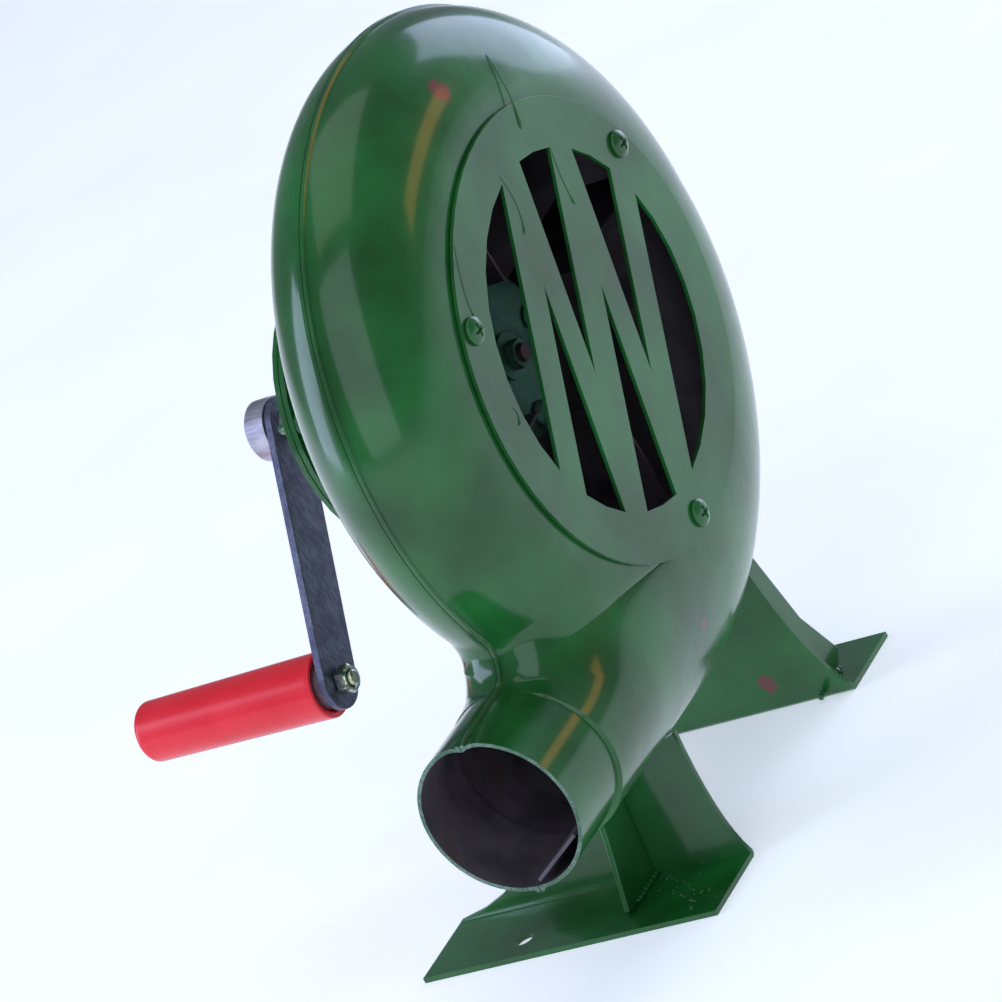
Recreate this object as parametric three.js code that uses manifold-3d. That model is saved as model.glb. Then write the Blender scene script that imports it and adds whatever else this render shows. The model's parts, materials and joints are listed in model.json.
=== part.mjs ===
// Hand-cranked forge blower: a pressed two-half volute on sheet legs, an inlet
// grille, a two-stage gear case behind it and a crank with a turning grip.
// Millimetres, +Z up. The fan and crank axis runs along Y, the inlet faces -Y,
// the outlet pipe points to -X and the feet stand on z = 0.
import * as THREE from "three";
import { ParametricGeometry } from "three/addons/geometries/ParametricGeometry.js";
import { mergeGeometries, mergeVertices } from "three/addons/utils/BufferGeometryUtils.js";
import Module from "manifold-3d";

const wasm = await Module();
wasm.setup();

// ---- Driving dimensions -------------------------------------------------
const clearance = 0.3; // between pieces that touch or turn in each other
const shaftHeight = 155; // fan axis above the floor
const shellSheet = 1.2;
const bodyRadius = 101; // outline of the volute at the seam, where it is round
const faceRadius = 68; // flat front and rear walls end here
const shellWidth = 53.4; // over the front and rear walls
const bodyOffset = { right: 0.9, up: 3.9 }; // centre of that outline from the fan axis
const volutePerDegree = 0.197; // growth of the outline on its way to the outlet
const voluteStart = 0;
const seamLip = 0.8;
const seamLipWidth = 1.3;

const outletRadius = 25;
const outletDrop = 85; // outlet axis below the fan axis
const outletReach = 120; // mouth plane from the fan axis
const mouthLength = 28; // thinner mouth in front of the shoulder
const shoulderStep = 1.3;
const tongueFillet = 9;
const valleyPower = 1.45;
const strapAngles = [268, 209]; // its two edges, round the outlet axis from the rear
const strapWidth = 24;
const strapSheet = 1.1;

const coverRadius = 70;
const coverSheet = 1.2;
const grilleRadius = 54.6;
const grilleLean = 23.7; // degrees from upright
const grilleHalfAngle = 7.8;
const grilleTips = [
  [-8, 12.2],
  [22, 15.4],
];
const inletRadius = 58;
const coverScrewCircle = 64.5;
const coverScrewAngles = [30, 150, 270];

const screwShank = 1.8;
const screwHead = 4.2;
const screwHeadHeight = 2.1;
const caseScrewLength = 8;
const boltTail = 4; // bolt shank beyond what it clamps
const boltNutAcross = 7;
const boltNutHeight = 3;
const screwLength = 9;

const caseRoom = 1.32; // case bore beyond the idler gear's teeth
const caseWall = 2.4;
const caseFlangeWidth = 8.6; // flange outside the case
const caseDepth = 29.4;
const flangeThickness = 1.8;
const caseScrewOut = 4.4; // screw circle outside the case
const caseScrewAngles = [160, 250, 340, 70];
const caseBoltInset = 8; // bolt circle inside the case
const capRise = 7;
const capInset = 3; // cap inside the case
const crankBossRadius = 11.5;
const crankBossLength = 11;

const fanShaftRadius = 4;
const crankShaftRadius = 5;
const bushWall = 1.7;
const gearModule = 0.8;
const gearTeeth = 32;
const pinionTeeth = 10;
const gearFace = 6;
const idlerPinRadius = 2;

const fanDiscRadius = 26;
const fanDiscSheet = 1.5;
const fanDiscSetback = 33.5; // disc behind the cover face
const bladeCount = 4;
const bladeLean = 5; // degrees, the first blade from +X
const bladeRadius = 82;
const bladeDepth = 30;
const bladeSheet = 1;
const bladeBoltCircle = 21;

const crankLength = 79;
const crankAngle = 211; // where the arm points at rest: 180 is straight down
const armWidth = 18;
const armSheet = 2.6;
const hubRadius = 9.5;
const hubLength = 7.5;
const armGap = 9.4; // arm in front of the crank bushing
const gripLength = 69;
const gripRadius = 10.4;
const gripTailRadius = 9.6;
const gripBoltRadius = 2.5;
const spacerRadius = 7.4;
const spacerLength = 5;
const nutAcross = 8;
const nutHeight = 4;

const footLength = 106;
const footFront = 10.6; // front end of the feet behind the cover face
const footFold = 46; // fold line from the middle
const footReach = 75.5; // outer edge of a foot from the middle
const footSheet = 1.7;
const legLean = 0.17; // inward per unit of height
const footHoleRadius = 3.1;
const footHole = { out: 65.7, back: 83.6 };
const gussetSheet = 1.7;
const leftGussetBack = 45;
const rightGussetBack = 21;

// ---- Sizes that follow --------------------------------------------------
const degree = Math.PI / 180;
const shellFront = coverSheet + clearance; // outer face of the front wall
const seamY = shellFront + shellWidth / 2;
const shellRear = shellFront + shellWidth;
const ridge = shellWidth / 2;
const neckRadius = outletRadius + shoulderStep;
const shoulderX = outletReach - mouthLength;
const caseFront = shellRear + clearance;
const caseRear = caseFront + caseDepth;
const coverFace = caseRear + clearance; // front face of the gear case cover
const coverRear = coverFace + flangeThickness;
const bossRear = coverRear + capRise + crankBossLength;
const gearPitch = (gearModule * gearTeeth) / 2;
const pinionPitch = (gearModule * pinionTeeth) / 2;
const idlerOffset = gearPitch + pinionPitch;
const toothRise = 0.85 * gearModule; // above and below the pitch circle
const toothDrop = 1.2 * gearModule;
const caseRadius = idlerOffset + gearPitch + toothRise + caseRoom + caseWall;
const caseFlangeRadius = caseRadius + caseFlangeWidth;
const caseScrewCircle = caseRadius + caseScrewOut;
const caseBoltCircle = caseRadius - caseBoltInset;
const capRadius = caseRadius - capInset;
const fanStageY = caseFront + caseWall + 6; // fan pinion and idler gear
const crankStageY = fanStageY + gearFace + 2; // idler pinion and crank gear
const armFront = bossRear + armGap;
const armRear = armFront + armSheet;
const fanBushRadius = fanShaftRadius + clearance + bushWall;
const crankBushRadius = crankShaftRadius + clearance + bushWall;
const fanDiscFront = fanDiscSetback;
const fanDiscRear = fanDiscFront + fanDiscSheet;

// ---- Helpers ------------------------------------------------------------
function paint(color, roughness, metalness) {
  return new THREE.MeshStandardMaterial({ color, roughness, metalness });
}

const enamel = () => paint(0x1f7a35, 0.25, 0);
const bareSteel = () => paint(0x5d5a66, 0.5, 0.9);
const turnedSteel = () => paint(0xb9b6bf, 0.4, 0.9);
const zinc = () => paint(0xb8c4c4, 0.3, 0.9);
const bronze = () => paint(0x8a6a3c, 0.45, 0.9);
const darkSteel = () => paint(0x3a3338, 0.6, 0.6);
const redPlastic = () => paint(0xe8394a, 0.35, 0);

function polar(radius, degrees) {
  return [radius * Math.cos(degrees * degree), radius * Math.sin(degrees * degree)];
}

function bareGeometry(geometry) {
  const copy = geometry.clone();
  copy.deleteAttribute("normal");
  copy.deleteAttribute("uv");
  return mergeVertices(copy, 1e-4);
}

function toSolid(geometry) {
  const merged = bareGeometry(geometry);
  return new wasm.Manifold(
    new wasm.Mesh({
      numProp: 3,
      vertProperties: new Float32Array(merged.attributes.position.array),
      triVerts: new Uint32Array(merged.index.array),
    }),
  );
}

function toGeometry(solid) {
  const mesh = solid.getMesh();
  const geometry = new THREE.BufferGeometry();
  geometry.setAttribute("position", new THREE.BufferAttribute(mesh.vertProperties, 3));
  geometry.setIndex(new THREE.BufferAttribute(mesh.triVerts, 1));
  return geometry;
}

function cut(geometry, ...tools) {
  return toGeometry(tools.reduce((solid, tool) => solid.subtract(toSolid(tool)), toSolid(geometry)));
}

function join(geometry, ...others) {
  return toGeometry(others.reduce((solid, other) => solid.add(toSolid(other)), toSolid(geometry)));
}

function common(geometry, other) {
  return toGeometry(toSolid(geometry).intersect(toSolid(other)));
}

// A round bar along Y at [x, z], from one y to another.
function barY(radius, from, to, [x, z] = [0, 0], sides = 20) {
  return new THREE.CylinderGeometry(radius, radius, to - from, sides).translate(x, (from + to) / 2, z);
}

// A turned piece around the Y axis from a closed list of [radius, y].
function turned(profile, sides = 32) {
  const points = [...profile, profile[0]].map(([radius, y]) => new THREE.Vector2(radius, y));
  return new THREE.LatheGeometry(points, sides);
}

function ring(inner, outer, from, to, sides = 32) {
  return turned([[inner, from], [outer, from], [outer, to], [inner, to]], sides);
}

// A flat outline in X and Z, thickened along Y.
function plateY(shape, from, to, curveSegments = 16) {
  const settings = { depth: to - from, bevelEnabled: false, curveSegments };
  return new THREE.ExtrudeGeometry(shape, settings).rotateX(Math.PI / 2).translate(0, to, 0);
}

// A flat outline in Y and Z, thickened along X.
function plateX(shape, from, to, curveSegments = 16) {
  const settings = { depth: to - from, bevelEnabled: false, curveSegments };
  return new THREE.ExtrudeGeometry(shape, settings).rotateX(Math.PI / 2).rotateZ(Math.PI / 2)
    .translate(from, 0, 0);
}

function polygon(points) {
  return new THREE.Shape(points.map(([x, y]) => new THREE.Vector2(x, y)));
}

const blower = new THREE.Group();

function add(name, geometry, material) {
  const mesh = new THREE.Mesh(geometry, material);
  mesh.name = name;
  mesh.position.z = shaftHeight;
  blower.add(mesh);
  return mesh;
}

// ---- Volute shell -------------------------------------------------------
// Each half is a field of ribs. A rib runs in from the outline at the seam to
// the ridge, where the wall is deepest, and rises to it as a quarter ellipse.
const bodyCentre = new THREE.Vector2(bodyOffset.right, bodyOffset.up);
const tongueCentre = (() => {
  const drop = outletRadius - outletDrop + tongueFillet;
  const across = Math.sqrt((bodyRadius + tongueFillet) ** 2 - (drop - bodyCentre.y) ** 2);
  return new THREE.Vector2(bodyCentre.x - across, drop);
})();
const tongueTurn = bodyCentre.clone().sub(tongueCentre).angle() / degree;
const tongueAngle = 180 + tongueTurn;
const junction = new THREE.Vector2(0, -faceRadius);
const spine = new THREE.CubicBezierCurve(
  new THREE.Vector2(-shoulderX, -outletDrop),
  new THREE.Vector2(-0.6 * shoulderX, -outletDrop),
  new THREE.Vector2(-0.4 * shoulderX, junction.y),
  junction,
);
const bottom = bodyRadius + volutePerDegree * (voluteStart + 90) - bodyCentre.y;
const belly = new THREE.CubicBezierCurve(
  new THREE.Vector2(-shoulderX, -outletDrop - neckRadius),
  new THREE.Vector2(-0.55 * shoulderX, -outletDrop - neckRadius - 0.5),
  new THREE.Vector2(-0.27 * shoulderX, -bottom - 1.4),
  new THREE.Vector2(bodyCentre.x, -bottom),
);

function bodyEdge(degrees) {
  const radius = bodyRadius + volutePerDegree * Math.max(0, voluteStart - degrees);
  return new THREE.Vector2(...polar(radius, degrees)).add(bodyCentre);
}

function onTongue(share) {
  const angle = THREE.MathUtils.lerp(-90, tongueTurn, share) * degree;
  return new THREE.Vector2(Math.cos(angle), Math.sin(angle)).multiplyScalar(tongueFillet)
    .add(tongueCentre);
}

function ease(share) {
  return (1 - Math.cos(Math.PI * share)) / 2;
}

function rib(edge, inner, depth, power = 2) {
  return { edge, inner, depth, power };
}

const lerp = THREE.MathUtils.lerp;
const stepRun = 0.6; // length of the shoulder's slope
const sectors = [
  {
    count: 4,
    at: (s) => rib(
      new THREE.Vector2(lerp(-outletReach, tongueCentre.x, s), outletRadius - outletDrop),
      new THREE.Vector2(lerp(-outletReach, -shoulderX - stepRun, s), -outletDrop),
      outletRadius,
    ),
  },
  {
    count: 1,
    at: (s) => rib(
      onTongue(0.04 * s),
      new THREE.Vector2(-shoulderX - stepRun * (1 - s), -outletDrop),
      outletRadius + shoulderStep * s,
    ),
  },
  {
    count: 8,
    at: (s) => rib(
      onTongue(lerp(0.04, 0.45, s)),
      spine.getPoint(s),
      lerp(neckRadius, ridge, ease(s)),
      lerp(2, valleyPower, ease(s)),
    ),
  },
  {
    count: 7,
    round: true,
    at: (s) => rib(
      onTongue(lerp(0.45, 1, s)),
      new THREE.Vector2(...polar(faceRadius, lerp(270, tongueAngle, s))),
      ridge,
      lerp(valleyPower, 2, ease(s)),
    ),
  },
  {
    count: 34,
    round: true,
    at: (s) => {
      const angle = lerp(tongueAngle, -90, s);
      return rib(bodyEdge(angle), new THREE.Vector2(...polar(faceRadius, angle)), ridge);
    },
  },
  {
    count: 8,
    at: (s) => rib(belly.getPoint(1 - s), spine.getPoint(1 - s), lerp(ridge, neckRadius, ease(s))),
  },
  {
    count: 1,
    at: (s) => rib(
      new THREE.Vector2(-shoulderX - stepRun * s, -outletDrop - neckRadius + shoulderStep * s),
      new THREE.Vector2(-shoulderX - stepRun * s, -outletDrop),
      neckRadius - shoulderStep * s,
    ),
  },
  {
    count: 4,
    at: (s) => rib(
      new THREE.Vector2(lerp(-shoulderX - stepRun, -outletReach, s), -outletDrop - outletRadius),
      new THREE.Vector2(lerp(-shoulderX - stepRun, -outletReach, s), -outletDrop),
      outletRadius,
    ),
  },
];
const ribSteps = 6;

// A point of a rib: how far in from the edge (negative is out) and how high.
function ribPoint({ edge, inner }, inward, height, side) {
  const run = inner.clone().sub(edge);
  const place = edge.clone().addScaledVector(run, inward / run.length());
  return new THREE.Vector3(place.x, seamY + side * height, place.y);
}

// The curve of the wall, whose edge lies "inset" in from the outline.
function wallStations(inset, start, side) {
  return Array.from({ length: ribSteps + 1 }, (_, step) => (sector, s) => {
    const line = sector.at(s);
    const length = line.edge.distanceTo(line.inner) - inset;
    const depth = line.depth - inset;
    const first = Math.asin(Math.min(1, start / depth));
    const angle = lerp(first, Math.PI / 2, step / ribSteps);
    const inward = length * (1 - Math.cos(angle) ** (2 / line.power));
    const height = depth * Math.max(Math.sin(angle), 1e-9) ** (2 / line.power);
    return ribPoint(line, inset + inward, step === 0 ? start : height, side);
  });
}

function faceStation(radius, height, side) {
  return (sector, s) => {
    const { inner } = sector.at(s);
    const place = inner.clone().setLength(radius);
    return new THREE.Vector3(place.x, seamY + side * height, place.y);
  };
}

function surface(point, slices, stacks) {
  const target = (u, v, out) => out.copy(point(u, v));
  const geometry = new ParametricGeometry(target, slices, stacks);
  geometry.deleteAttribute("normal");
  geometry.deleteAttribute("uv");
  return geometry;
}

function weld(pieces, flip) {
  const merged = mergeVertices(mergeGeometries(pieces), 1e-3);
  const source = merged.index.array;
  const index = [];
  for (let i = 0; i < source.length; i += 3) {
    const [a, b, c] = [source[i], source[i + 1], source[i + 2]];
    if (a !== b && b !== c && a !== c) {
      index.push(a, flip ? c : b, flip ? b : c);
    }
  }
  merged.setIndex(index);
  return merged;
}

// One pressed half: side -1 is the front, +1 the rear, with a round opening.
function shellHalf(side, opening) {
  const lip = [
    (sector, s) => ribPoint(sector.at(s), -seamLip, clearance / 2, side),
    (sector, s) => ribPoint(sector.at(s), -seamLip, seamLipWidth, side),
  ];
  const outer = [...lip, ...wallStations(0, seamLipWidth + 0.3, side)];
  const inner = wallStations(shellSheet, clearance / 2, side);
  const pieces = [];
  for (const sector of sectors) {
    const chains = sector.round
      ? [[lip[0], ...outer.slice(1), faceStation(opening, ridge, side),
        faceStation(opening, ridge - shellSheet, side), ...[...inner].reverse(), lip[0]]]
      : [outer, [...[...inner].reverse(), lip[0]]];
    for (const chain of chains) {
      const steps = chain.length - 1;
      pieces.push(surface((u, v) => chain[Math.round(v * steps)](sector, u), sector.count, steps));
    }
  }
  const ends = [[sectors[0], 0, false], [sectors[sectors.length - 1], 1, true]];
  for (const [sector, s, last] of ends) {
    const steps = outer.length - 1;
    const back = [inner[0], inner[0], ...inner];
    const place = (u, v) => (u > 0.5 ? outer : back)[Math.round(v * steps)](sector, s);
    pieces.push(last ? surface((u, v) => place(1 - u, v), 1, steps) : surface(place, 1, steps));
  }
  return weld(pieces, side < 0);
}

// The outer form without a hollow, "grown" outward, for trimming the legs. It
// stays upright beside the seam lip, so the lip keeps its clearance as well.
function shellForm(grown) {
  const pieces = [];
  for (const side of [-1, 1]) {
    const band = seamLipWidth + clearance;
    const wall = [
      (sector, s) => ribPoint(sector.at(s), -grown, 0, side),
      (sector, s) => ribPoint(sector.at(s), -grown, band, side),
      ...wallStations(-grown, band, side),
    ];
    const last = wall.length - 1;
    const crown = () => new THREE.Vector3(0, seamY + side * (ridge + grown), 0);
    const halves = sectors.map((sector) => {
      const chain = sector.round ? [...wall, crown] : wall;
      const steps = chain.length - 1;
      return surface((u, v) => chain[Math.round(v * steps)](sector, u), sector.count, steps);
    });
    const ends = [[sectors[0], 0], [sectors[sectors.length - 1], 1]].map(([sector, s]) => {
      const centre = wall[last](sector, s).setY(seamY);
      const place = (u, v) => (u > 0.5 ? wall[Math.round(v * last)](sector, s) : centre.clone());
      return s ? surface((u, v) => place(1 - u, v), 1, last) : surface(place, 1, last);
    });
    pieces.push(weld([...halves, ...ends], side < 0));
  }
  return weld(pieces, false);
}

function coverScrewHoles(radius) {
  return coverScrewAngles.map((angle) =>
    barY(radius, -5, shellFront + 5, polar(coverScrewCircle, angle), 12));
}

add("front_shell", cut(shellHalf(-1, inletRadius), ...coverScrewHoles(screwShank + clearance)), enamel());
const caseBolts = [45, 135, 225, 315].map((angle) => polar(caseBoltCircle, angle));
add(
  "rear_shell",
  cut(
    shellHalf(1, fanBushRadius + clearance),
    ...caseBolts.map((spot) => barY(screwShank + clearance, shellRear - 5, shellRear + 5, spot, 12)),
  ),
  enamel(),
);

// A flat strap closes the lap of the seam inside the lower front of the mouth.
function seamStrap() {
  const bore = outletRadius - shellSheet - 2 * clearance;
  const from = new THREE.Vector2(...polar(bore, strapAngles[0]));
  const to = new THREE.Vector2(...polar(bore, strapAngles[1]));
  const along = to.clone().sub(from).setLength(1);
  const thick = new THREE.Vector2(along.y, -along.x).multiplyScalar(strapSheet);
  const trim = along.multiplyScalar(strapSheet * 0.5);
  const near = [from.clone().add(trim), to.clone().sub(trim)];
  const corners = [...near, ...near.map((corner) => corner.clone().add(thick)).reverse()];
  const shape = polygon(corners.map(({ x, y }) => [seamY + x, y - outletDrop]));
  return plateX(shape, -outletReach + 0.2, -outletReach + strapWidth);
}
add("outlet_seam_strap", seamStrap(), enamel());

// ---- Inlet cover --------------------------------------------------------
// The grille lies in a frame that leans by grilleLean: u across, v along.
function grillePoint(u, v) {
  return new THREE.Vector2(u, v).rotateAround(new THREE.Vector2(), -grilleLean * degree);
}

function rimArc(from, to) {
  const steps = Math.max(2, Math.round(from.distanceTo(to) / 9));
  const start = from.angle();
  let sweep = to.angle() - start;
  sweep -= Math.round(sweep / (2 * Math.PI)) * 2 * Math.PI;
  return Array.from({ length: steps + 1 }, (_, i) => {
    const angle = start + (sweep * i) / steps;
    return new THREE.Vector2(Math.cos(angle), Math.sin(angle)).multiplyScalar(grilleRadius);
  });
}

// Where a line from a point, "slope" degrees from upright, meets the rim.
function rimHit(u, v, slope, up) {
  const dir = new THREE.Vector2(Math.sin(slope * degree), Math.cos(slope * degree)).multiplyScalar(up);
  const b = u * dir.x + v * dir.y;
  const reach = -b + Math.sqrt(b * b - (u * u + v * v - grilleRadius * grilleRadius));
  return grillePoint(u + dir.x * reach, v + dir.y * reach);
}

function wedge(u, v, up) {
  const left = rimHit(u, v, -grilleHalfAngle * up, up);
  const right = rimHit(u, v, grilleHalfAngle * up, up);
  return [grillePoint(u, v), ...rimArc(left, right)];
}

function crescent(side) {
  const middle = -35.2 * side;
  const top = rimHit(middle, 0, grilleHalfAngle, 1);
  const bottom = rimHit(middle, 0, grilleHalfAngle, -1);
  return side > 0 ? rimArc(bottom, top) : rimArc(top, bottom);
}

function grilleCuts() {
  const wedges = grilleTips.flatMap(([u, v]) => [wedge(u, -v, 1), wedge(-u, v, -1)]);
  return [...wedges, crescent(1), crescent(-1)];
}

function inletCover() {
  const shape = new THREE.Shape();
  shape.absarc(0, 0, coverRadius, 0, 2 * Math.PI, false);
  for (const points of grilleCuts()) {
    shape.holes.push(new THREE.Path(points));
  }
  for (const angle of coverScrewAngles) {
    const hole = new THREE.Path();
    hole.absarc(...polar(coverScrewCircle, angle), screwShank + clearance, 0, 2 * Math.PI, false);
    shape.holes.push(hole);
  }
  return plateY(shape, 0, coverSheet, 30);
}
add("inlet_cover", inletCover(), enamel());

// ---- Fastenings ---------------------------------------------------------
// A pan-head cross-recess screw: head in front of "face", shank to the rear.
function panScrew([x, z], face, length = screwLength, slotted = true) {
  const seat = face - clearance;
  const top = seat - screwHeadHeight;
  const profile = [
    [0, top],
    [screwHead * 0.55, top + 0.15],
    [screwHead * 0.85, top + 0.7],
    [screwHead, seat - 0.5],
    [screwHead, seat],
    [screwShank, seat],
    [screwShank, seat + length],
    [0, seat + length],
  ];
  const body = turned(profile, slotted ? 16 : 10);
  if (!slotted) {
    return body.translate(x, 0, z);
  }
  const slots = [0, 90].map((turn) =>
    new THREE.BoxGeometry(screwHead * 1.1, 1.6, 0.9).rotateY(turn * degree).translate(0, top, 0));
  return cut(body, ...slots).translate(x, 0, z);
}

function nut(across, bore, from, to, [x, z] = [0, 0], turn = 0) {
  const shape = polygon([0, 60, 120, 180, 240, 300].map((angle) =>
    polar(across / 2 / Math.cos(30 * degree), angle + turn)));
  const hole = new THREE.Path();
  hole.absarc(0, 0, bore, 0, 2 * Math.PI, false);
  shape.holes.push(hole);
  return plateY(shape, from, to, 8).translate(x, 0, z);
}

coverScrewAngles.forEach((angle, i) => {
  add(`cover_screw_${i + 1}`, panScrew(polar(coverScrewCircle, angle), 0), enamel());
});

// ---- Legs and gussets ---------------------------------------------------
const floorZ = -shaftHeight;
const footTop = floorZ + footSheet;
const footRear = footFront + footLength;

function webX(z) {
  return footFold - legLean * (z - floorZ);
}

function leg(side) {
  const top = -outletDrop + 15;
  const section = polygon([
    [footReach, floorZ],
    [footReach, footTop],
    [webX(footTop), footTop],
    [webX(top), top],
    [webX(top) - footSheet, top],
    [webX(floorZ) - footSheet, floorZ + footSheet * 0.5],
    [webX(floorZ) - footSheet * 0.5, floorZ],
  ].map(([x, z]) => [side * x, z]));
  const outline = new THREE.Shape();
  outline.moveTo(footFront, floorZ - 1);
  outline.lineTo(footRear, floorZ - 1);
  outline.lineTo(footRear, footTop + 0.05);
  outline.quadraticCurveTo(66, floorZ + 8, seamY + ridge + 3, top);
  outline.lineTo(footFront + 8, top - 1);
  outline.lineTo(footFront + 8, floorZ + 60);
  outline.quadraticCurveTo(footFront + 9, floorZ + 16, footFront, footTop + 0.05);
  const sheet = common(
    plateY(section, footFront - 1, footRear + 1),
    plateX(outline, side > 0 ? 0 : -footReach - 1, side > 0 ? footReach + 1 : 0, 10),
  );
  const hole = new THREE.CylinderGeometry(footHoleRadius, footHoleRadius, 10, 20).rotateX(Math.PI / 2)
    .translate(side * footHole.out, footHole.back, floorZ);
  return cut(sheet, hole, trimForm);
}

const trimForm = shellForm(seamLip + clearance);
add("left_leg", leg(-1), enamel());
add("right_leg", leg(1), enamel());

// An upright web between the foot and the outer face of a leg.
function gusset(side, back, foot, upper, corner) {
  const base = footTop + clearance;
  const near = (z) => webX(z) + 2 * clearance;
  const points = [
    [near(base), base],
    [near(base) + foot - corner, base],
    [near(base) + foot, base + corner],
    [near(floorZ + 25) + upper, floorZ + 25],
    [near(floorZ + 62) + upper * 0.62, floorZ + 62],
    [near(floorZ + 62), floorZ + 62],
  ].map(([x, z]) => [side * x, z]);
  const web = plateY(polygon(points), back - gussetSheet / 2, back + gussetSheet / 2);
  return cut(web, trimForm);
}
add("left_gusset", gusset(-1, leftGussetBack, 20.5, 15.5, 1), enamel());
add("right_gusset", gusset(1, rightGussetBack, 16, 9.4, 5), enamel());

// ---- Gear case ----------------------------------------------------------
const idler = [0, idlerOffset];
const pinHole = idlerPinRadius + clearance;

function gearCase() {
  const bore = fanBushRadius + clearance;
  const floor = caseFront + caseWall;
  const cup = turned([
    [bore, caseFront],
    [caseRadius - 2, caseFront],
    [caseRadius, caseFront + 2],
    [caseRadius, caseRear - flangeThickness],
    [caseFlangeRadius, caseRear - flangeThickness],
    [caseFlangeRadius, caseRear],
    [caseRadius - caseWall, caseRear],
    [caseRadius - caseWall, floor],
    [bore, floor],
  ], 36);
  return cut(
    cup,
    ...caseScrewAngles.map((angle) =>
      barY(screwShank + clearance, caseRear - 6, caseRear + 2, polar(caseScrewCircle, angle), 12)),
    ...caseBolts.map((spot) => barY(screwShank + clearance, caseFront - 2, floor + 2, spot, 12)),
    barY(pinHole, caseFront - 2, floor + 2, idler, 12),
  );
}
add("gear_case", gearCase(), enamel());

function gearCaseCover() {
  const bore = crankBushRadius + clearance;
  const capTop = coverRear + capRise;
  const cover = turned([
    [bore, coverFace],
    [caseFlangeRadius, coverFace],
    [caseFlangeRadius, coverRear],
    [capRadius + 3, coverRear],
    [capRadius, coverRear + 3],
    [capRadius - 4, capTop - 1],
    [capRadius - 8, capTop],
    [crankBossRadius + 2, capTop],
    [crankBossRadius, capTop + 2],
    [crankBossRadius, bossRear - 1],
    [crankBossRadius - 1, bossRear],
    [bore, bossRear],
  ], 36);
  return cut(
    cover,
    ...caseScrewAngles.map((angle) =>
      barY(screwShank + clearance, coverFace - 2, coverRear + 2, polar(caseScrewCircle, angle), 12)),
    barY(pinHole, coverFace - 2, coverFace + 6, idler, 12),
  );
}
add("gear_case_cover", gearCaseCover(), enamel());

caseScrewAngles.forEach((angle, i) => {
  const face = caseRear - flangeThickness;
  add(`case_screw_${i + 1}`, panScrew(polar(caseScrewCircle, angle), face, caseScrewLength), enamel());
});
caseBolts.forEach((spot, i) => {
  const face = shellRear - shellSheet;
  add(`case_bolt_${i + 1}`, panScrew(spot, face, shellSheet + caseWall + boltTail, false), darkSteel());
  const seat = caseFront + caseWall + clearance;
  const top = seat + boltNutHeight;
  add(`case_nut_${i + 1}`, nut(boltNutAcross, screwShank + clearance, seat, top, spot, 30), zinc());
});

add("fan_bushing", ring(fanShaftRadius + clearance, fanBushRadius, shellRear - 5, fanStageY - 1), bronze());
add("crank_bushing", ring(crankShaftRadius + clearance, crankBushRadius, coverFace, bossRear + 1), bronze());
add("idler_pin", barY(idlerPinRadius, caseFront + 0.4, coverFace + 5, idler, 16), turnedSteel());

// ---- Gears --------------------------------------------------------------
// Straight-sided teeth, thinned a little so that meshed pairs stay clear.
function gearShape(teeth, bore, turn) {
  const pitch = (gearModule * teeth) / 2;
  const tip = pitch + toothRise;
  const root = pitch - toothDrop;
  const quarter = 90 / teeth; // half a tooth at the pitch circle, degrees
  const points = [];
  for (let i = 0; i < teeth; i += 1) {
    const middle = turn + (360 / teeth) * i;
    points.push(polar(root, middle - quarter * 1.35), polar(tip, middle - quarter * 0.42));
    points.push(polar(tip, middle + quarter * 0.42), polar(root, middle + quarter * 1.35));
  }
  const shape = polygon(points);
  const hole = new THREE.Path();
  hole.absarc(0, 0, bore, 0, 2 * Math.PI, false);
  shape.holes.push(hole);
  return shape;
}

function gear(teeth, bore, from, turn, [x, z] = [0, 0]) {
  return plateY(gearShape(teeth, bore, turn), from, from + gearFace, 10).translate(x, 0, z);
}

const toothUp = 90; // a tooth of this gear points at the idler
const gapDown = 270 + 180 / pinionTeeth; // a gap of the pinion faces the axis
const gapUp = 90 + 180 / pinionTeeth;
const sleeveRadius = pinionPitch - toothDrop;

add("fan_pinion", gear(pinionTeeth, 2 + clearance, fanStageY, gapUp), turnedSteel());
add("idler_gear", gear(gearTeeth, sleeveRadius + clearance, fanStageY, 270, idler), bareSteel());
add(
  "idler_pinion",
  join(
    gear(pinionTeeth, pinHole, crankStageY, gapDown, idler),
    ring(pinHole, sleeveRadius - 0.05, fanStageY - 0.5, crankStageY + 1, 20).translate(0, 0, idlerOffset),
  ),
  turnedSteel(),
);
add("crank_gear", gear(gearTeeth, crankShaftRadius + clearance, crankStageY, toothUp), bareSteel());

// ---- Fan ----------------------------------------------------------------
const fanNutFront = fanDiscFront - 6;
add(
  "fan_shaft",
  turned([
    [0, fanNutFront - 1.5],
    [2.6, fanNutFront - 1.5],
    [2.6, fanDiscFront - 1.4],
    [fanShaftRadius, fanDiscFront - 1.4],
    [fanShaftRadius, fanStageY - 0.5],
    [2, fanStageY - 0.5],
    [2, fanStageY + gearFace + 1],
    [0, fanStageY + gearFace + 1],
  ], 20),
  turnedSteel(),
);
add("fan_nut", nut(8, 2.6 + clearance, fanNutFront, fanDiscFront - 2.9), darkSteel());
add("fan_washer", ring(2.6 + clearance, 7.5, fanDiscFront - 2.6, fanDiscFront - 1.7, 20), darkSteel());

const bladeAngles = Array.from({ length: bladeCount }, (_, i) => bladeLean + (360 / bladeCount) * i);

function fanDisc() {
  const disc = ring(fanShaftRadius + clearance, fanDiscRadius, fanDiscFront, fanDiscRear, 40);
  return cut(disc, ...bladeAngles.map((angle) =>
    barY(screwShank + clearance, fanDiscFront - 2, fanDiscRear + 2, polar(bladeBoltCircle, angle), 12)));
}
add("fan_disc", fanDisc(), enamel());

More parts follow.
